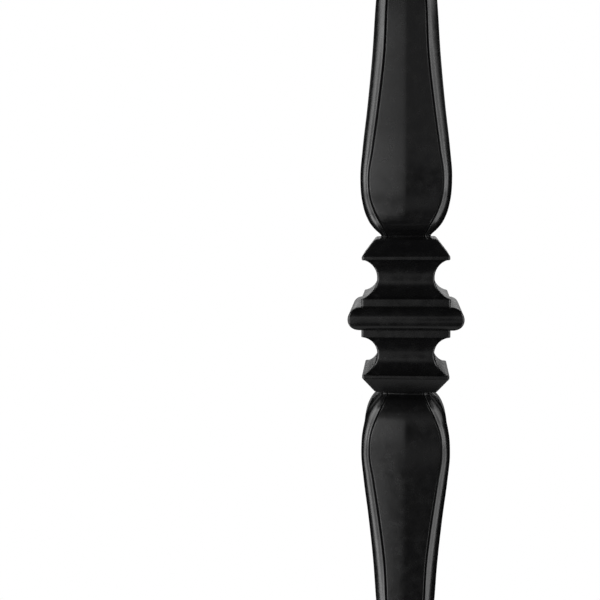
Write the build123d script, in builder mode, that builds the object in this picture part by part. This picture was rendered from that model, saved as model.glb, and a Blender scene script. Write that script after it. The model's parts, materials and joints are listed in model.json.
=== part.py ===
"""Square stair spindle with a spoon on each side of a moulded knuckle.

The spindle stands upright along Z with its foot at the origin. It is one piece:
a square bar, a knuckle of square mouldings with mitred corners, and above and
below the knuckle a spoon, which swells from a narrow neck to a belly and tapers
to a point on the bar. Every face of a spoon is a raised panel with a ridge down
its middle, and a groove parts it from the round bead that runs along each
corner. The upper end is turned to a pin for the handrail.
"""

from build123d import *
from math import sqrt
import os

os.makedirs("parts", exist_ok=True)

# Bar, from the sawn foot to the tip of the pin
spindle_length = 1118.0
bar_side = 12.7
bar_corner_radius = 1.5

# Turned pin and the cone that runs out over the corners of the bar
pin_diameter = 12.0
pin_length = 25.0
pin_tip_chamfer = 1.2
shoulder_height = 5.0

# Knuckle, all widths across its flat sides
knuckle_centre_height = 653.0
bullnose_width = 38.1
bullnose_height = 7.8
band_width = 29.4
band_height = 2.5
cove_waist_width = 19.1
cove_height = 12.8
cove_top_width = 27.4
rim_width = 29.0
rim_height = 1.2
rim_edge_radius = 0.35
collar_slope_height = 5.5
collar_top_width = 20.6
collar_edge_radius = 0.8

# Spoon, from its neck on the collar to its point on the bar
spoon_length = 112.0
belly_width = 29.9
panel_slope = 0.066
panel_crown = 0.01
groove_width = 0.7
groove_depth = 1.2
bead_lead = 0.1

# Sections of a spoon, from the neck to the point. Each row holds the share of
# the spoon's length, the share of the swell from the bar to the belly, the width
# of the corner bead, its radius, and the share of the full relief. A loft through
# more than fourteen sections ripples between them, and twelve keep its facets few.
spoon_sections = [
    (0.000, 0.18, 1.90, 1.6, 1.0),
    (0.027, 0.43, 3.10, 2.7, 1.0),
    (0.069, 0.78, 4.00, 3.3, 1.0),
    (0.115, 0.94, 3.30, 2.9, 1.0),
    (0.180, 1.00, 2.75, 2.5, 1.0),
    (0.268, 0.90, 3.15, 2.8, 1.0),
    (0.384, 0.73, 3.40, 3.4, 1.0),
    (0.535, 0.55, 3.80, 4.8, 1.0),
    (0.700, 0.40, 3.50, 6.0, 1.0),
    (0.805, 0.26, 3.50, 3.6, 0.9),
    (0.900, 0.08, 3.80, 2.2, 0.6),
    (1.000, 0.00, 5.75, bar_corner_radius, 0.0),
]

bar_half = bar_side / 2
belly_half = belly_width / 2
knuckle_half_height = (
    bullnose_height / 2 + band_height + cove_height + rim_height + collar_slope_height
)


def bead_round(half, inner_edge, radius):
    """Start and middle of the round of a corner bead, on one side of its mitre."""
    width = half - inner_edge
    lead = bead_lead * width
    if radius < width - lead:
        centre = half - radius
        start = (centre, -half)
    else:
        # A flat bead: its round is less than a quarter, and rises from the groove
        centre = inner_edge - (sqrt(2 * radius**2 - width**2) - width) / 2
        start_x = inner_edge + lead
        start = (start_x, -(centre + sqrt(radius**2 - (start_x - centre) ** 2)))
    reach = centre + radius / sqrt(2)
    return start, (reach, -reach)


def on_face(point):
    """The point where it stands, on its own face of the spoon."""
    return point


def across_mitre(point):
    """The same point on the neighbouring face, mirrored in the corner's diagonal."""
    x, y = point
    return (-y, -x)


def spoon_section(height, half, bead_width, bead_radius, relief):
    """Section of a spoon at a height, as a face.

    The edges are made one by one and not in a BuildLine block, because a block
    merges the edges that lie in line at the spoon's point, and the loft needs as
    many edges there as in the other sections.
    """
    panel_half = half - bead_width
    ridge = (0, -half)
    edge = (panel_half - groove_width / 2, -(half - relief * panel_slope * panel_half))
    bottom = (panel_half, -(half - relief * groove_depth))
    crest = (panel_half + groove_width / 2, -half)
    round_start, round_middle = bead_round(half, crest[0], bead_radius)
    crown = relief * panel_crown * panel_half
    panel_middle = (edge[0] / 2, (ridge[1] + edge[1]) / 2 - crown)
    quarter = [ThreePointArc(round_start, round_middle, across_mitre(round_start))]
    for place in (on_face, across_mitre):
        if relief > 0:
            quarter.append(ThreePointArc(place(ridge), place(panel_middle), place(edge)))
        else:
            quarter.append(Line(place(ridge), place(edge)))
        quarter.append(Line(place(edge), place(bottom)))
        quarter.append(Line(place(bottom), place(crest)))
        quarter.append(Line(place(crest), place(round_start)))
    outline = [line.rotate(Axis.Z, turn) for turn in (0, 90, 180, 270) for line in quarter]
    return Plane.XY.offset(height) * make_face(outline)


def knuckle_outline(plane):
    """Outline of the knuckle's mouldings, seen square on to one side."""
    bullnose_half = bullnose_height / 2
    band_top = bullnose_half + band_height
    cove_top = band_top + cove_height
    rim_top = cove_top + rim_height
    with BuildSketch(plane) as outline:
        with BuildLine():
            for side in (1, -1):
                Polyline(
                    (bullnose_width / 2 - bullnose_half, side * bullnose_half),
                    (band_width / 2, side * bullnose_half),
                    (band_width / 2, side * band_top),
                )
                ThreePointArc(
                    (band_width / 2, side * band_top),
                    (cove_waist_width / 2, side * (band_top + cove_top) / 2),
                    (cove_top_width / 2, side * cove_top),
                )
                FilletPolyline(
                    (cove_top_width / 2, side * cove_top),
                    (rim_width / 2, side * cove_top),
                    (rim_width / 2, side * rim_top),
                    (collar_top_width / 2, side * knuckle_half_height),
                    (0, side * knuckle_half_height),
                    radius=(rim_edge_radius, rim_edge_radius, collar_edge_radius),
                )
            ThreePointArc(
                (bullnose_width / 2 - bullnose_half, -bullnose_half),
                (bullnose_width / 2, 0),
                (bullnose_width / 2 - bullnose_half, bullnose_half),
            )
            mirror(about=Plane.YZ)
        make_face()
    return outline.sketch


def spoon_sections_from(neck_height, direction):
    """The sections of one spoon, from its neck up or down to its point."""
    sections = []
    for along, swell, bead_width, bead_radius, relief in spoon_sections:
        height = neck_height + direction * along * spoon_length
        half = bar_half + swell * (belly_half - bar_half)
        sections.append(spoon_section(height, half, bead_width, bead_radius, relief))
    return sections


upper_spoon = spoon_sections_from(knuckle_centre_height + knuckle_half_height, 1)
lower_spoon = spoon_sections_from(knuckle_centre_height - knuckle_half_height, -1)

with BuildPart() as spindle:
    # Knuckle: two runs of the same moulding, crossed, so that the corners mitre
    knuckle_centre = (0, 0, knuckle_centre_height)
    across_x = Plane(knuckle_centre, x_dir=(1, 0, 0), z_dir=(0, -1, 0))
    across_y = Plane(knuckle_centre, x_dir=(0, 1, 0), z_dir=(1, 0, 0))
    extrude(knuckle_outline(across_x), amount=bullnose_width / 2, both=True)
    extrude(knuckle_outline(across_y), amount=bullnose_width / 2, both=True, mode=Mode.INTERSECT)

    # Spoons above and below the knuckle
    loft(upper_spoon)
    loft(lower_spoon)

    # Bar below and above the spoons
    spoon_reach = knuckle_half_height + spoon_length
    for start, end in (
        (0, knuckle_centre_height - spoon_reach),
        (knuckle_centre_height + spoon_reach, spindle_length),
    ):
        with BuildSketch(Plane.XY.offset(start)):
            RectangleRounded(bar_side, bar_side, bar_corner_radius)
        extrude(amount=end - start)

    # Pin: what the lathe takes off the upper end
    pin_radius = pin_diameter / 2
    pin_root = spindle_length - pin_length
    with BuildSketch(Plane.XZ):
        with BuildLine():
            Polyline(
                (pin_radius - pin_tip_chamfer, spindle_length),
                (pin_radius, spindle_length - pin_tip_chamfer),
                (pin_radius, pin_root),
                (bar_side / sqrt(2), pin_root - shoulder_height),
                (bar_side, pin_root - shoulder_height),
                (bar_side, spindle_length),
                close=True,
            )
        make_face()
    revolve(axis=Axis.Z, mode=Mode.SUBTRACT)

spindle.part.label = "spindle"
export_step(spindle.part, "parts/spindle.step")
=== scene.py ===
"""Square stair spindle with a spoon above and below its knuckle, dressed and lit.

The outline of the spindle is drawn as a line from the tip of the pin down to the
foot. A node tree turns that line into the solid: each point of it becomes a ring,
and one rule gives the ring its ridged panels, its grooves and its corner beads.
"""

import json
from math import atan2, cos, hypot, pi, radians, sin, sqrt, tan

import bpy
import numpy as np
from bpy.props import FloatProperty, FloatVectorProperty, PointerProperty
from mathutils import Matrix, Vector


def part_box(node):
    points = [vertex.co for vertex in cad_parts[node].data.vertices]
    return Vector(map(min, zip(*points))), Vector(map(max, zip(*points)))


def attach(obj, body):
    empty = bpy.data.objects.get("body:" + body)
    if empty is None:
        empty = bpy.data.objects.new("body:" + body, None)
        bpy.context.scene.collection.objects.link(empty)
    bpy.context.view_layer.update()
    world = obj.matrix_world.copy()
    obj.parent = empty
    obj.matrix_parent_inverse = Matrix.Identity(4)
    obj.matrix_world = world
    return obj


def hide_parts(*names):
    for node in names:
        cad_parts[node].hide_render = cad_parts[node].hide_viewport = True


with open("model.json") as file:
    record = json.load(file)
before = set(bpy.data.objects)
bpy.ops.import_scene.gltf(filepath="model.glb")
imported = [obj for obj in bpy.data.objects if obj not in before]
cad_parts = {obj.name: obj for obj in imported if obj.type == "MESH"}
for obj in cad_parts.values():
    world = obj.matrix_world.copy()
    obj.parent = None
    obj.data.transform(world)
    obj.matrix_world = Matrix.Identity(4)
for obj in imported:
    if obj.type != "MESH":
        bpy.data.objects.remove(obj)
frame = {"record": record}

bl_info = {
    "name": "Spoon Stair Spindle",
    "version": (1, 0, 0),
    "blender": (4, 5, 0),
    "location": "3D View > Sidebar > Spindle",
    "description": "Builds a square stair spindle with spoons and a moulded knuckle",
    "category": "Object",
}

MM = 0.001
CAD_NODE = "spindle"
COAT_SLOT = "satin_black_coat"

# Sizes that the frame already holds, in millimetres
foot_corner, top_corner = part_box(CAD_NODE)
mount_sizes = {mount["name"]: mount["dims"] for mount in frame["record"]["mounts"]}
cad_length = top_corner[2] / MM
cad_width = (top_corner[0] - foot_corner[0]) / MM
cad_pin_diameter = 2 * mount_sizes["top_pin"]["r_mm"]


def length(name, description, millimetres):
    """A length property whose default is given in millimetres."""
    return FloatProperty(
        name=name,
        description=description,
        default=millimetres * MM,
        unit="LENGTH",
        subtype="DISTANCE",
        precision=5,
    )


def angle(name, description, in_degrees):
    """An angle property whose default is given in degrees."""
    return FloatProperty(
        name=name, description=description, default=radians(in_degrees), subtype="ANGLE"
    )


class SpindleSizes(bpy.types.PropertyGroup):
    """Bar, pin and the place of the knuckle."""

    spindle_length: length("Length", "From the foot to the tip of the pin", cad_length)
    bar_side: length("Bar side", "Side of the square bar", 12.7)
    bar_round: length("Bar corner", "Radius of the corners of the bar", 1.5)
    pin_diameter: length("Pin diameter", "Diameter of the pin", cad_pin_diameter)
    pin_length: length("Pin length", "Length of the turned pin", 25.0)
    pin_chamfer: length("Pin chamfer", "Chamfer at the tip of the pin", 1.2)
    shoulder_height: length("Shoulder", "Height of the cone below the pin", 5.0)
    knuckle_height: length("Knuckle height", "Middle of the knuckle above the foot", 653.0)


class KnuckleSizes(bpy.types.PropertyGroup):
    """Mouldings of the knuckle, all widths across its flat sides."""

    bullnose_width: length("Bullnose width", "Widest moulding", cad_width)
    bullnose_height: length("Bullnose height", "Height of the widest moulding", 7.8)
    band_width: length("Band width", "Width of the bands beside the bullnose", 29.4)
    band_height: length("Band height", "Height of each band", 2.5)
    cove_waist_width: length("Cove waist", "Narrowest width of the coves", 19.1)
    cove_height: length("Cove height", "Height of each cove", 12.8)
    cove_top_width: length("Cove end", "Width of a cove where it meets its rim", 27.4)
    rim_width: length("Rim width", "Width of the rims", 29.0)
    rim_height: length("Rim height", "Height of each rim", 1.2)
    rim_edge: length("Rim edge", "Radius of the edges of the rims", 0.4)
    collar_slope_height: length("Collar height", "Height of the sloping collars", 5.5)
    collar_top_width: length("Collar top", "Width of a collar at the spoon's neck", 20.6)
    collar_edge: length("Collar edge", "Radius of the edge at a collar's top", 0.8)
    crisp_edge: length("Crisp edge", "Radius of the other edges", 0.22)
    mitre_round: length("Mitre edge", "Radius of the upright corners", 0.7)


class SpoonSizes(bpy.types.PropertyGroup):
    """Spoons, and the panels, grooves and beads on them."""

    spoon_length: length("Spoon length", "From the neck to the point", 112.0)
    belly_width: length("Belly width", "Greatest width of a spoon", 29.9)
    panel_slope: FloatProperty(
        name="Panel slope",
        description="Fall of a panel from its ridge to its edge, per unit of width",
        default=0.08,
    )
    panel_crown: FloatProperty(
        name="Panel crown",
        description="Rise of the middle of a panel half, per unit of width",
        default=0.004,
    )
    ridge_round: length("Ridge round", "Softness of the ridge of a panel", 0.55)
    groove_wall: length("Groove wall", "Width of the groove's wall on the panel's side", 0.5)
    bead_shoulder: length("Bead shoulder", "Width of the bead's round down into the groove", 0.5)
    groove_depth: length("Groove depth", "Depth of a groove", 1.05)


class CoatLook(bpy.types.PropertyGroup):
    """Satin black coating."""

    colour: FloatVectorProperty(
        name="Colour",
        description="Base colour of the coating",
        subtype="COLOR",
        size=3,
        min=0.0,
        max=1.0,
        default=(0.0015, 0.0015, 0.0016),
    )
    roughness: FloatProperty(
        name="Roughness", description="Roughness of the coating", default=0.25, min=0.0, max=1.0
    )
    gloss: FloatProperty(
        name="Gloss", description="Specular level of the coating", default=0.42, min=0.0, max=1.0
    )
    orange_peel: length("Orange peel", "Height of the coating's waviness", 0.004)
    peel_size: length("Peel size", "Size of the coating's waves", 1.1)
    mottle: FloatProperty(
        name="Mottle", description="How far the roughness changes over the coating", default=0.22
    )
    mottle_size: length("Mottle size", "Size of the patches in the coating", 3.5)
    groove_dullness: FloatProperty(
        name="Groove dullness", description="Roughness that the grooves add", default=0.10
    )


class StudioSizes(bpy.types.PropertyGroup):
    """Camera, floor and lights."""

    camera_distance: length("Camera distance", "In front of the spindle's axis", 336.0)
    camera_rise: length("Camera rise", "Above the middle of the knuckle", 44.9)
    camera_turn: angle("Camera turn", "Turn to the left", 6.232)
    camera_tilt: angle("Camera tilt", "Tilt downwards", 6.85)
    camera_roll: angle("Camera roll", "Turn of the picture", -0.61)
    camera_lens: FloatProperty(
        name="Lens", description="Focal length in millimetres, on a 36 mm sensor", default=58.53
    )
    floor_radius: length("Floor radius", "Radius of the floor", 9000.0)
    floor_fade_start: length("Fade start", "Where the floor starts to whiten", 200.0)
    floor_fade_width: length("Fade width", "How far the floor takes to whiten", 700.0)
    light_power: FloatProperty(
        name="Light power", description="Scales every studio light", default=1.0, min=0.0
    )


# Sections of a spoon, from the neck to the point: share of the length, share of the
# swell from the bar to the belly, bead width and bead radius in millimetres, relief
SPOON_SECTIONS = np.array([
    (0.000, 0.300, 2.10, 1.65, 0.50),
    (0.008, 0.205, 1.95, 1.70, 0.60),
    (0.016, 0.280, 2.25, 2.05, 0.65),
    (0.027, 0.430, 3.00, 2.95, 0.75),
    (0.045, 0.620, 3.60, 3.75, 0.85),
    (0.069, 0.775, 3.55, 3.75, 0.95),
    (0.115, 0.930, 3.00, 3.20, 1.00),
    (0.180, 0.990, 2.85, 3.00, 1.00),
    (0.268, 0.905, 3.35, 3.50, 1.00),
    (0.384, 0.735, 3.60, 4.00, 1.00),
    (0.535, 0.550, 3.90, 4.80, 1.00),
    (0.700, 0.400, 3.55, 5.80, 1.00),
    (0.805, 0.260, 3.50, 3.60, 0.90),
    (0.900, 0.080, 3.80, 2.20, 0.60),
    (0.955, 0.010, 4.60, 1.70, 0.30),
    (1.000, 0.000, 5.75, 1.50, 0.00),
])

# Rings of the mesh. A spoon has more of them near its neck, and the bar's own rings
# start a little past the spoon's point
SPOON_RINGS = 150
NECK_CROWDING = 1.35
UPPER_BAR_RINGS = 12
LOWER_BAR_RINGS = 16
PAST_THE_POINT = 8 * MM
ARC_STEPS = 16

# Rounded edges: points on each, the most that one takes of the run beside it, and how
# far past it a ring holds that run flat
EDGE_STEPS = 3
EDGE_REACH = 0.4
EDGE_SUPPORT = 0.12 * MM

# Columns of the mesh. The groove's wall takes the first part of its columns, the bead's
# are crowded towards the mitre, and a panel never gets narrower than its least half
COLUMNS_PER_PANEL = 9
COLUMNS_PER_GROOVE = 8
COLUMNS_PER_BEAD = 9
GROOVE_WALL_PART = 0.375
BEAD_CROWDING = 1.4
LEAST_PANEL_HALF = 0.05 * MM

# Where the groove's columns stand on the plain parts, as a share of the half width
BAR_GROOVE_PLACE = 0.6
KNUCKLE_GROOVE_PLACE = 0.8

# Radius that stands for parts the lathe leaves alone, and the angle of a sharp edge
UNTURNED = 40 * MM
SHARP_ANGLE = radians(40)

# Painted shade in the grooves: they are darkened by this share, down to this part of the coating's
# colour
GROOVE_SHADE = 0.8
GROOVE_SHADE_TONE = 0.45

# Matt floor, and how white it is at the foot of the spindle
FLOOR_COLOUR = (0.86, 0.86, 0.86, 1.0)
FLOOR_ROUGHNESS = 0.9
FLOOR_GLOSS = 0.1
FLOOR_WHITENESS = 0.55
FLOOR_CORNERS = 64
WHITE = (1.0, 1.0, 1.0, 1.0)

CAMERA_CLIP_START = 10 * MM

# Rows of soft boxes that face the knuckle: degrees above it, metres away, width and
# height in metres, then the watts of each box by its degrees to the right of the front
SOFT_BOX_ROWS = {
    "level": (
        5, 1.1, 0.32, 0.64, {-74: 2.6, -58: 4.8, -26: 3.1, -12: 0.5, 28: 0.6, 44: 2.0, 58: 3.0}
    ),
    "high": (38, 1.1, 0.50, 0.60, {-86: 3.0, -66: 2.6, -52: 2.2, 56: 1.6, 72: 2.6, 98: 1.5}),
    "low": (-28, 0.9, 0.27, 0.45, {-76: 1.6, -58: 1.2, -26: 1.4, 44: 0.9, 64: 1.3}),
    "foot": (-52, 0.72, 0.30, 0.24, {-85: 1.4, 60: 0.8}),
    "below": (-89.9, 0.65, 0.50, 0.50, {0: 0.3}),
    "front_high": (22, 0.8, 0.50, 0.26, {0: 0.1}),
    "front_low": (-20, 0.8, 0.50, 0.26, {0: 0.1}),
    "back": (20, 1.25, 0.70, 0.40, {-150: 0.3, 180: 0.4, 150: 0.2}),
    "behind": (0, 1.25, 0.50, 0.34, {180: 0.4}),
}

# Rows below this rise show in reflections only, so that they leave no edge on the floor
LOWEST_FLOOR_LIGHT = -40


# Outline of the spindle

def arc(start, middle, end):
    """Points on the arc from start through middle to end, both ends included."""
    (ax, ay), (bx, by), (cx, cy) = start, middle, end
    twice_area = 2 * (ax * (by - cy) + bx * (cy - ay) + cx * (ay - by))
    a2, b2, c2 = ax * ax + ay * ay, bx * bx + by * by, cx * cx + cy * cy
    ux = (a2 * (by - cy) + b2 * (cy - ay) + c2 * (ay - by)) / twice_area
    uy = (a2 * (cx - bx) + b2 * (ax - cx) + c2 * (bx - ax)) / twice_area
    first = atan2(ay - uy, ax - ux)
    sweep = atan2(cy - uy, cx - ux) - first
    half_sweep = atan2(by - uy, bx - ux) - first
    sweep = (sweep + pi) % (2 * pi) - pi
    half_sweep = (half_sweep + pi) % (2 * pi) - pi
    if half_sweep * sweep < 0:
        sweep -= 2 * pi * (1 if sweep > 0 else -1)
    radius = hypot(ax - ux, ay - uy)
    turns = [first + sweep * step / ARC_STEPS for step in range(ARC_STEPS + 1)]
    return [(ux + radius * cos(turn), uy + radius * sin(turn)) for turn in turns]


def eased(before, corner, after, radius):
    """The corner between two straight runs, rounded, with a point to hold each run flat."""
    corner = Vector(corner)
    back, on = Vector(before) - corner, Vector(after) - corner
    opening = back.angle(on)
    reach = min(radius / tan(opening / 2), EDGE_REACH * back.length, EDGE_REACH * on.length)
    start, end = corner + back.normalized() * reach, corner + on.normalized() * reach
    # Points on the chord are drawn towards the corner, the most in the middle
    bulge = 1 - sin(opening / 2)
    points = []
    for step in range(EDGE_STEPS + 1):
        share = step / EDGE_STEPS
        chord = start.lerp(end, share)
        points.append(chord.lerp(corner, 4 * share * (1 - share) * bulge))
    if reach + EDGE_SUPPORT < 0.5 * back.length:
        points.insert(0, start + back.normalized() * EDGE_SUPPORT)
    if reach + EDGE_SUPPORT < 0.5 * on.length:
        points.append(end + on.normalized() * EDGE_SUPPORT)
    return [tuple(point) for point in points]


def upper_knuckle(sizes):
    """Half of the knuckle's outline, from the collar's top down to the bullnose's nose.

    Each point is a half width, a height above the middle, and the radius of its edge.
    """
    nose = sizes.bullnose_height / 2
    band_top = nose + sizes.band_height
    cove_top = band_top + sizes.cove_height
    rim_top = cove_top + sizes.rim_height
    collar_top = rim_top + sizes.collar_slope_height
    band, rim = sizes.band_width / 2, sizes.rim_width / 2
    cove = arc(
        (sizes.cove_top_width / 2, cove_top),
        (sizes.cove_waist_width / 2, (cove_top + band_top) / 2),
        (band, band_top),
    )
    flank = sizes.bullnose_width / 2 - nose
    bullnose = arc((flank, nose), (flank + nose / sqrt(2), nose / sqrt(2)), (flank + nose, 0))
    return [
        (sizes.collar_top_width / 2, collar_top, sizes.collar_edge),
        (rim, rim_top, sizes.rim_edge),
        (rim, cove_top, sizes.rim_edge),
        (*cove[0], sizes.crisp_edge),
        *[(*point, 0) for point in cove[1:-1]],
        (*cove[-1], sizes.crisp_edge),
        (band, nose, sizes.crisp_edge),
        (flank, nose, 0),
        *[(*point, 0) for point in bullnose[1:]],
    ]


def knuckle_outline(sizes, middle):
    """Half widths and heights of the whole knuckle, from the top down, edges rounded."""
    upper = upper_knuckle(sizes)
    corners = upper + [(half, -height, edge) for half, height, edge in upper[-2::-1]]
    top = corners[0][1]
    run = [(0.0, top), *(corner[:2] for corner in corners), (0.0, -top)]
    outline = []
    for place, (half, height, edge) in enumerate(corners, start=1):
        if edge > 0:
            outline += eased(run[place - 1], (half, height), run[place + 1], edge)
        else:
            outline.append((half, height))
    return [(half, middle + height) for half, height in outline]


def smooth(stations, values, wanted):
    """Values at the wanted stations, on a smooth curve through the given ones."""
    slopes = np.gradient(values, stations)
    after = np.clip(np.searchsorted(stations, wanted, side="right"), 1, len(stations) - 1)
    before = after - 1
    gap = stations[after] - stations[before]
    t = (wanted - stations[before]) / gap
    return (
        (1 + 2 * t) * (1 - t) ** 2 * values[before]
        + t * (1 - t) ** 2 * gap * slopes[before]
        + t**2 * (3 - 2 * t) * values[after]
        + t**2 * (t - 1) * gap * slopes[after]
    )


class Outline:
    """The spindle's outline: a ring of the mesh for every point, from the top down."""

    def __init__(self):
        self.points = []
        self.columns = {"groove_place": [], "corner_radius": [], "relief": [], "turned_radius": []}

    def add(self, half, height, groove_place, corner_radius, relief=0.0, turned_radius=UNTURNED):
        self.points.append((half, 0.0, height))
        values = (groove_place, corner_radius, relief, turned_radius)
        for column, value in zip(self.columns.values(), values):
            column.append(value)

    def mesh(self, name):
        """The outline as a line, with its values as attributes."""
        line = bpy.data.meshes.new(name)
        steps = [(place, place + 1) for place in range(len(self.points) - 1)]
        line.from_pydata(self.points, steps, [])
        for column, values in self.columns.items():
            attribute = line.attributes.new(column, "FLOAT", "POINT")
            attribute.data.foreach_set("value", values)
        return line


def add_bar(outline, sizes, heights, turned=None):
    """Rings of the plain bar, or of the pin where a turned radius is given."""
    half = sizes.bar_side / 2
    for place, height in enumerate(heights):
        radius = UNTURNED if turned is None else turned[place]
        outline.add(half, height, BAR_GROOVE_PLACE * half, sizes.bar_round, turned_radius=radius)


def add_spoon(outline, bar, spoon, neck, direction):
    """Rings of a spoon that grows up or down from its neck, added from the top down."""
    share = np.linspace(0, 1, SPOON_RINGS + 1) ** NECK_CROWDING
    stations = SPOON_SECTIONS[:, 0]
    swell, bead, radius, relief = (
        smooth(stations, SPOON_SECTIONS[:, column], share) for column in range(1, 5)
    )
    bar_half = bar.bar_side / 2
    half = bar_half + swell * (spoon.belly_width / 2 - bar_half)
    height = neck + direction * share * spoon.spoon_length
    rings = list(zip(half, height, half - bead * MM, radius * MM, np.clip(relief, 0, 1)))
    if direction > 0:
        rings.reverse()
    for ring in rings:
        outline.add(*(float(value) for value in ring))


def spindle_outline(bar, knuckle, spoon):
    """The whole outline, from the tip of the pin down to the foot."""
    outline = Outline()
    top, pin_radius = bar.spindle_length, bar.pin_diameter / 2
    root = top - bar.pin_length
    corner_radius = bar.bar_side / sqrt(2)
    turned = [
        (top, pin_radius - bar.pin_chamfer),
        (top - bar.pin_chamfer, pin_radius),
        (top - bar.pin_chamfer - EDGE_SUPPORT, pin_radius),
        (root + EDGE_SUPPORT, pin_radius),
        (root, pin_radius),
        (root - bar.shoulder_height, corner_radius),
    ]
    add_bar(outline, bar, [height for height, _ in turned], [radius for _, radius in turned])

    middle = bar.knuckle_height
    moulding = knuckle_outline(knuckle, middle)
    neck_up, neck_down = moulding[0][1], moulding[-1][1]
    upper_point = neck_up + spoon.spoon_length
    lower_point = neck_down - spoon.spoon_length
    upper_bar = np.linspace(
        root - 2 * bar.shoulder_height, upper_point + PAST_THE_POINT, UPPER_BAR_RINGS
    )
    lower_bar = np.linspace(lower_point - PAST_THE_POINT, 0, LOWER_BAR_RINGS)
    add_bar(outline, bar, upper_bar.tolist())
    add_spoon(outline, bar, spoon, neck_up, 1)
    for half, height in moulding:
        outline.add(half, height, KNUCKLE_GROOVE_PLACE * half, knuckle.mitre_round)
    add_spoon(outline, bar, spoon, neck_down, -1)
    add_bar(outline, bar, lower_bar.tolist())
    return outline


# Node trees

class Wire:
    """A value in a node tree. Arithmetic on it adds Math nodes."""

    def __init__(self, tree, socket):
        self.tree = tree
        self.socket = socket

    def math(self, operation, *values):
        return self.tree.node("ShaderNodeMath", {"operation": operation}, dict(enumerate(values)))

    def __add__(self, other):
        return self.math("ADD", self, other)

    __radd__ = __add__

    def __sub__(self, other):
        return self.math("SUBTRACT", self, other)

    def __rsub__(self, other):
        return self.math("SUBTRACT", other, self)

    def __mul__(self, other):
        return self.math("MULTIPLY", self, other)

    __rmul__ = __mul__

    def __truediv__(self, other):
        return self.math("DIVIDE", self, other)

    def __rtruediv__(self, other):
        return self.math("DIVIDE", other, self)

    def __pow__(self, other):
        return self.math("POWER", self, other)

    def floor(self):
        return self.math("FLOOR", self)

    def sqrt(self):
        return self.math("SQRT", self)

    def sin(self):
        return self.math("SINE", self)

    def cos(self):
        return self.math("COSINE", self)

    def arcsin(self):
        return self.math("ARCSINE", self)

    def least(self, other):
        return self.math("MINIMUM", self, other)

    def most(self, other):
        return self.math("MAXIMUM", self, other)

    def above(self, other):
        return self.math("GREATER_THAN", self, other)

    def clamped(self):
        return self.least(1.0).most(0.0)

    def soft_step(self):
        """From 0 to 1 with a soft start and end."""
        return self * self * (3.0 - 2.0 * self)


class Tree:
    """A node tree whose nodes are added by one method."""

    def __init__(self, node_tree):
        self.nodes = node_tree.nodes
        self.links = node_tree.links

    def node(self, kind, settings=None, inputs=None, output=0):
        """Adds a node with its settings, then its inputs, and returns one of its outputs."""
        node = self.nodes.new(kind)
        for name, value in (settings or {}).items():
            setattr(node, name, value)
        self.feed(node, inputs or {})
        outputs = [socket for socket in node.outputs if socket.enabled]
        found = outputs[output] if isinstance(output, int) else node.outputs[output]
        return Wire(self, found)

    def feed(self, node, inputs):
        """Gives the inputs of a node their values or links."""
        for name, value in inputs.items():
            if isinstance(value, Wire):
                self.links.new(value.socket, node.inputs[name])
            else:
                node.inputs[name].default_value = value


def add_sockets(node_tree, direction, kind, names):
    """Named inputs or outputs of a node tree, all of one kind."""
    for name in names:
        node_tree.interface.new_socket(name=name, in_out=direction, socket_type=kind)


def panel_and_groove(given, groove, panel_share, groove_share):
    """A panel half from its ridge to its edge, then the groove up to the bead's crest.

    Returns where the crest is, the place across the face, the fall below the face, and
    how deep in the groove that place is.
    """
    slope, ridge_round = given["Panel Slope"], given["Ridge Round"]
    wall, shoulder, depth = given["Groove Wall"], given["Bead Shoulder"], given["Groove Depth"]
    panel_edge = (groove - wall).most(LEAST_PANEL_HALF)
    crest = panel_edge + wall + shoulder

    # Panel, a slope down from a soft ridge, with a slight crown
    across = panel_edge * panel_share.soft_step()
    soft = (across**2.0 + ridge_round**2.0).sqrt() - ridge_round
    span = across / panel_edge
    crown = given["Panel Crown"] * groove * 4.0 * span * (1.0 - span)

    # Groove, a wall down from the panel's edge and the bead's round shoulder up to its crest
    wall_share = (groove_share / GROOVE_WALL_PART).clamped()
    shoulder_share = ((groove_share - GROOVE_WALL_PART) / (1 - GROOVE_WALL_PART)).clamped()
    down = (depth - slope * groove) * (1.0 - (wall_share * (pi / 2)).cos())
    up = depth * (shoulder_share * (pi / 2)).sin()

    x = across + wall * wall_share + shoulder * shoulder_share
    fall = slope * soft - crown + down - up
    return crest, x, fall, wall_share - shoulder_share


def corner_bead(half, crest, radius, share):
    """A flat from the bead's crest and then a round that ends on the mitre."""
    width = half - crest
    rise = (((radius**2.0 * 2.0 - width**2.0).most(0.0).sqrt() - width) * 0.5).most(0.0)
    centre = half - (radius**2.0 - rise**2.0).sqrt()
    start_angle = (rise / radius).arcsin()
    flat = (centre + rise - crest).most(0.0)
    bead_length = flat + radius * (pi / 4 - start_angle)
    bead_run = (1.0 - (1.0 - share) ** BEAD_CROWDING) * bead_length
    on_flat = bead_run.least(flat)
    bead_angle = start_angle + (bead_run - on_flat) / radius
    x = crest + on_flat + radius * (bead_angle.sin() - start_angle.sin())
    y = half - radius * (start_angle.cos() - bead_angle.cos())
    return x, y


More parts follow.
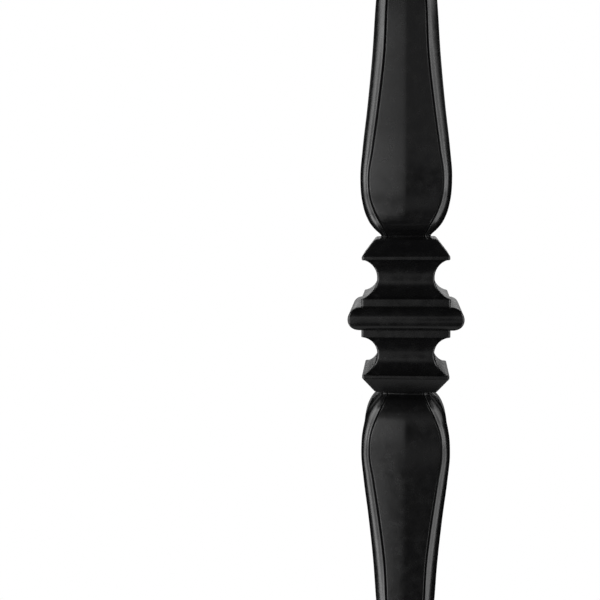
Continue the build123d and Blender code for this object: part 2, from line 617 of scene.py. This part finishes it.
def build_section_tree():
    """The tree that turns the outline into the solid, one ring for every point of it."""
    node_tree = bpy.data.node_groups.new("spindle_sections", "GeometryNodeTree")
    column_names = ("Panel Columns", "Groove Columns", "Bead Columns")
    panel_names = ("Panel Slope", "Panel Crown", "Ridge Round")
    groove_names = ("Groove Wall", "Bead Shoulder", "Groove Depth")
    add_sockets(node_tree, "OUTPUT", "NodeSocketGeometry", ("Geometry",))
    add_sockets(node_tree, "INPUT", "NodeSocketGeometry", ("Outline",))
    add_sockets(node_tree, "INPUT", "NodeSocketInt", column_names)
    add_sockets(node_tree, "INPUT", "NodeSocketFloat", panel_names + groove_names)
    add_sockets(node_tree, "INPUT", "NodeSocketMaterial", ("Coating",))
    tree = Tree(node_tree)
    group = tree.nodes.new("NodeGroupInput")
    given = {socket.name: Wire(tree, socket) for socket in group.outputs if socket.name}

    # Columns of a ring: half a face is a panel half, a groove and half a bead
    panel_columns, groove_columns, bead_columns = (given[name] for name in column_names)
    half_face = panel_columns + groove_columns + bead_columns
    face = half_face * 2.0
    around = face * 4.0
    rings = tree.node(
        "GeometryNodeAttributeDomainSize", {"component": "MESH"}, {"Geometry": given["Outline"]}
    )
    tube = tree.node(
        "GeometryNodeMeshCylinder",
        {"fill_type": "NGON"},
        {"Vertices": around, "Side Segments": rings - 1.0, "Radius": 1.0, "Depth": 1.0},
    )
    index = tree.node("GeometryNodeInputIndex")
    ring = ((index + 0.5) / around).floor()
    column = index - ring * around
    quarter = ((column + 0.5) / face).floor()
    step = column - quarter * face
    past_mitre = step.above(half_face)
    near = step.least(face - step)

    # What the outline says of the ring
    def sampled(field, kind="FLOAT"):
        return tree.node(
            "GeometryNodeSampleIndex",
            {"data_type": kind, "domain": "POINT"},
            {"Geometry": given["Outline"], "Value": field, "Index": ring},
        )

    def attribute(name):
        field = tree.node("GeometryNodeInputNamedAttribute", {"data_type": "FLOAT"}, {"Name": name})
        return sampled(field)

    place = sampled(tree.node("GeometryNodeInputPosition"), "FLOAT_VECTOR")
    half = tree.node("ShaderNodeSeparateXYZ", inputs={0: place}, output=0)
    height = tree.node("ShaderNodeSeparateXYZ", inputs={0: place}, output=2)
    groove = attribute("groove_place")
    radius = attribute("corner_radius")
    relief = attribute("relief")
    turned = attribute("turned_radius")

    # Shares of the way across the panel half, the groove and the bead
    panel_share = (near / panel_columns).clamped()
    groove_share = ((near - panel_columns) / groove_columns).clamped()
    bead_share = ((near - panel_columns - groove_columns) / bead_columns).clamped()

    # Across the face and out to it, on the flat stretch or on the bead
    crest, flat_x, fall, in_groove = panel_and_groove(given, groove, panel_share, groove_share)
    bead_x, bead_y = corner_bead(half, crest, radius, bead_share)
    on_bead = bead_share.above(0.0)
    x = flat_x + (bead_x - flat_x) * on_bead
    y = (half - relief * fall) * (1.0 - on_bead) + bead_y * on_bead

    # Onto the face's own side of the mitre, inside what the lathe leaves, then round the axis
    along = y + (x - y) * past_mitre
    beside = x + (y - x) * past_mitre
    reach = (along**2.0 + beside**2.0).sqrt()
    kept = (turned / reach).least(1.0)
    corner = tree.node(
        "ShaderNodeCombineXYZ", inputs={"X": along * kept, "Y": beside * kept, "Z": height}
    )
    placed = tree.node(
        "ShaderNodeVectorRotate",
        {"rotation_type": "Z_AXIS"},
        {"Vector": corner, "Angle": quarter * (pi / 2)},
    )
    shaped = tree.node("GeometryNodeSetPosition", inputs={"Geometry": tube, "Position": placed})
    marked = tree.node(
        "GeometryNodeStoreNamedAttribute",
        {"data_type": "FLOAT", "domain": "POINT"},
        {"Geometry": shaped, "Name": "in_groove", "Value": relief * in_groove},
    )
    real = tree.node("GeometryNodeRealizeInstances", inputs={"Geometry": marked})
    coated = tree.node(
        "GeometryNodeSetMaterial", inputs={"Geometry": real, "Material": given["Coating"]}
    )
    tree.feed(tree.nodes.new("NodeGroupOutput"), {"Geometry": coated})
    return node_tree


# Materials

def new_finish(name):
    """A new material and its tree."""
    material = bpy.data.materials.new(name)
    material.use_nodes = True
    return material, Tree(material.node_tree)


def satin_coat(look):
    """Satin black coating: a fine orange peel, a soft mottle, duller grooves and painted shade in
    them.
    """
    material, tree = new_finish(COAT_SLOT)
    place = tree.node("ShaderNodeTexCoord", output="Object")

    def noise(size, detail, roughness):
        inputs = {"Vector": place, "Scale": 1.0 / size, "Detail": detail, "Roughness": roughness}
        return tree.node("ShaderNodeTexNoise", {"noise_dimensions": "3D"}, inputs)

    peel = noise(look.peel_size, 2.0, 0.5)
    patches = noise(look.mottle_size, 3.0, 0.6)
    groove = tree.node("ShaderNodeAttribute", {"attribute_name": "in_groove"}, output="Fac")
    # Painted shade: the coating's colour is darkened in the grooves
    painted_groove_shade = [GROOVE_SHADE_TONE * channel for channel in look.colour]
    colour_with_painted_shade = tree.node(
        "ShaderNodeMix",
        {"data_type": "RGBA"},
        {
            "Factor": (groove * GROOVE_SHADE).clamped(),
            "A": (*look.colour, 1.0),
            "B": (*painted_groove_shade, 1.0),
        },
        output="Result",
    )
    roughness = look.roughness + (patches - 0.5) * look.mottle + groove * look.groove_dullness
    bump_inputs = {"Strength": 1.0, "Distance": look.orange_peel, "Height": peel}
    bump = tree.node("ShaderNodeBump", inputs=bump_inputs)
    surface = {
        "Base Color": colour_with_painted_shade,
        "Roughness": roughness,
        "Specular IOR Level": look.gloss,
        "Normal": bump,
    }
    tree.feed(tree.nodes["Principled BSDF"], surface)
    return material


def floor_finish(fade_start, fade_width):
    """Pale matt floor that fades into the white surround."""
    material, tree = new_finish("pale_floor")
    matt = tree.nodes["Principled BSDF"]
    surface = {
        "Base Color": FLOOR_COLOUR,
        "Roughness": FLOOR_ROUGHNESS,
        "Specular IOR Level": FLOOR_GLOSS,
    }
    tree.feed(matt, surface)
    place = tree.node("ShaderNodeTexCoord", output="Object")
    far = tree.node("ShaderNodeVectorMath", {"operation": "LENGTH"}, {0: place}, output="Value")
    way_out = ((far - fade_start) / fade_width).clamped()
    fade = FLOOR_WHITENESS + (1.0 - FLOOR_WHITENESS) * way_out.soft_step()
    white = tree.node("ShaderNodeEmission", inputs={"Color": WHITE, "Strength": 1.0})
    shaders = {0: fade, 1: Wire(tree, matt.outputs[0]), 2: white}
    blend = tree.node("ShaderNodeMixShader", inputs=shaders)
    tree.feed(tree.nodes["Material Output"], {"Surface": blend})
    return material


# Operators

def add_object(scene, name, data):
    """A new object in the scene."""
    added = bpy.data.objects.new(name, data)
    scene.collection.objects.link(added)
    return added


class SPINDLE_OT_build_spindle(bpy.types.Operator):
    """Builds the spindle from its outline and coats it"""

    bl_idname = "spindle.build_spindle"
    bl_label = "Build the Spindle"

    def execute(self, context):
        scene = context.scene
        outline = spindle_outline(scene.spindle_sizes, scene.knuckle_sizes, scene.spoon_sizes)
        line = add_object(scene, "spindle_outline", outline.mesh("spindle_outline"))
        self.add_sections(line, scene.spoon_sizes, satin_coat(scene.coat_look))
        context.view_layer.update()
        evaluated = line.evaluated_get(context.evaluated_depsgraph_get())
        mesh = bpy.data.meshes.new_from_object(evaluated)
        bpy.data.objects.remove(line)
        mesh.name = "forged_spindle"
        spindle = add_object(scene, "forged_spindle", mesh)
        mesh.shade_smooth()
        mesh.set_sharp_from_angle(angle=SHARP_ANGLE)
        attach(spindle, "root")
        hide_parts(CAD_NODE)
        return {"FINISHED"}

    def add_sections(self, line, spoon, coating):
        """Gives the outline the tree of sections and the tree its inputs."""
        modifier = line.modifiers.new("sections", "NODES")
        modifier.node_group = build_section_tree()
        values = {
            "Panel Columns": COLUMNS_PER_PANEL,
            "Groove Columns": COLUMNS_PER_GROOVE,
            "Bead Columns": COLUMNS_PER_BEAD,
            "Panel Slope": spoon.panel_slope,
            "Panel Crown": spoon.panel_crown,
            "Ridge Round": spoon.ridge_round,
            "Groove Wall": spoon.groove_wall,
            "Bead Shoulder": spoon.bead_shoulder,
            "Groove Depth": spoon.groove_depth,
            "Coating": coating,
        }
        for item in modifier.node_group.interface.items_tree:
            if item.name in values:
                modifier[item.identifier] = values[item.name]


class SPINDLE_OT_set_up_studio(bpy.types.Operator):
    """Adds the floor, the surround, the lights and the camera"""

    bl_idname = "spindle.set_up_studio"
    bl_label = "Set Up the Studio"

    def execute(self, context):
        scene, studio = context.scene, context.scene.studio_sizes
        knuckle = Vector((0, 0, scene.spindle_sizes.knuckle_height))
        self.add_floor(scene, studio)
        self.add_surround(scene)
        self.add_lights(scene, knuckle, studio.light_power)
        self.add_camera(scene, studio, knuckle)
        scene.view_settings.view_transform = "Standard"
        return {"FINISHED"}

    def add_floor(self, scene, studio):
        """A round floor at the spindle's foot."""
        radius = studio.floor_radius
        turns = [2 * pi * step / FLOOR_CORNERS for step in range(FLOOR_CORNERS)]
        corners = [(radius * cos(turn), radius * sin(turn), 0) for turn in turns]
        mesh = bpy.data.meshes.new("floor")
        mesh.from_pydata(corners, [], [range(FLOOR_CORNERS)])
        mesh.materials.append(floor_finish(studio.floor_fade_start, studio.floor_fade_width))
        floor = add_object(scene, "floor", mesh)
        floor.visible_glossy = False

    def add_surround(self, scene):
        """White to look at and no light to reflect, so that the black coating keeps its depth."""
        world = bpy.data.worlds.new("surround")
        world.use_nodes = True
        scene.world = world
        tree = Tree(world.node_tree)
        seen = tree.node("ShaderNodeLightPath", output="Is Camera Ray")
        tree.feed(tree.nodes["Background"], {"Color": WHITE, "Strength": seen})

    def add_lights(self, scene, target, power):
        """Rows of soft boxes round the knuckle. The lowest are kept off the floor."""
        for row, (rise, distance, width, height, boxes) in SOFT_BOX_ROWS.items():
            level, lift = cos(radians(rise)), sin(radians(rise))
            for turn, watts in boxes.items():
                away = Vector((sin(radians(turn)) * level, -cos(radians(turn)) * level, lift))
                name = f"{row}_box_{turn % 360}"
                light = bpy.data.lights.new(name, "AREA")
                light.shape = "RECTANGLE"
                light.size, light.size_y = width, height
                light.energy = watts * power
                box = add_object(scene, name, light)
                box.location = target + away * distance
                box.rotation_euler = (-away).to_track_quat("-Z", "Y").to_euler()
                box.visible_camera = False
                box.visible_diffuse = rise > LOWEST_FLOOR_LIGHT

    def add_camera(self, scene, studio, knuckle):
        """Close to the knuckle and a little above it, the spindle right of the middle."""
        data = bpy.data.cameras.new("camera")
        data.lens = studio.camera_lens
        data.clip_start = CAMERA_CLIP_START
        camera = add_object(scene, "camera", data)
        camera.location = knuckle + Vector((0, -studio.camera_distance, studio.camera_rise))
        turn = Matrix.Rotation(studio.camera_turn, 3, "Z")
        tilt = Matrix.Rotation(pi / 2 - studio.camera_tilt, 3, "X")
        roll = Matrix.Rotation(studio.camera_roll, 3, "Z")
        camera.rotation_euler = (turn @ tilt @ roll).to_euler()
        scene.camera = camera


class SPINDLE_PT_panel(bpy.types.Panel):
    """Lists the spindle's steps and sizes"""

    bl_label = "Stair Spindle"
    bl_idname = "SPINDLE_PT_panel"
    bl_space_type = "VIEW_3D"
    bl_region_type = "UI"
    bl_category = "Spindle"

    def draw(self, context):
        layout = self.layout
        for group in PROPERTY_GROUPS:
            box = layout.box()
            settings = getattr(context.scene, group)
            for name in settings.bl_rna.properties.keys():
                if name not in ("rna_type", "name"):
                    box.prop(settings, name)
        for operator in OPERATORS:
            layout.operator(operator.bl_idname)


PROPERTY_GROUPS = {
    "spindle_sizes": SpindleSizes,
    "knuckle_sizes": KnuckleSizes,
    "spoon_sizes": SpoonSizes,
    "coat_look": CoatLook,
    "studio_sizes": StudioSizes,
}
OPERATORS = (SPINDLE_OT_build_spindle, SPINDLE_OT_set_up_studio)
CLASSES = (*PROPERTY_GROUPS.values(), *OPERATORS, SPINDLE_PT_panel)


def register():
    for cls in CLASSES:
        bpy.utils.register_class(cls)
    for name, group in PROPERTY_GROUPS.items():
        setattr(bpy.types.Scene, name, PointerProperty(type=group))


def unregister():
    for name in PROPERTY_GROUPS:
        delattr(bpy.types.Scene, name)
    for cls in reversed(CLASSES):
        bpy.utils.unregister_class(cls)


def main():
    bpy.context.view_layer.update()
    register()
    bpy.ops.spindle.build_spindle()
    bpy.ops.spindle.set_up_studio()


if __name__ == "__main__":
    main()
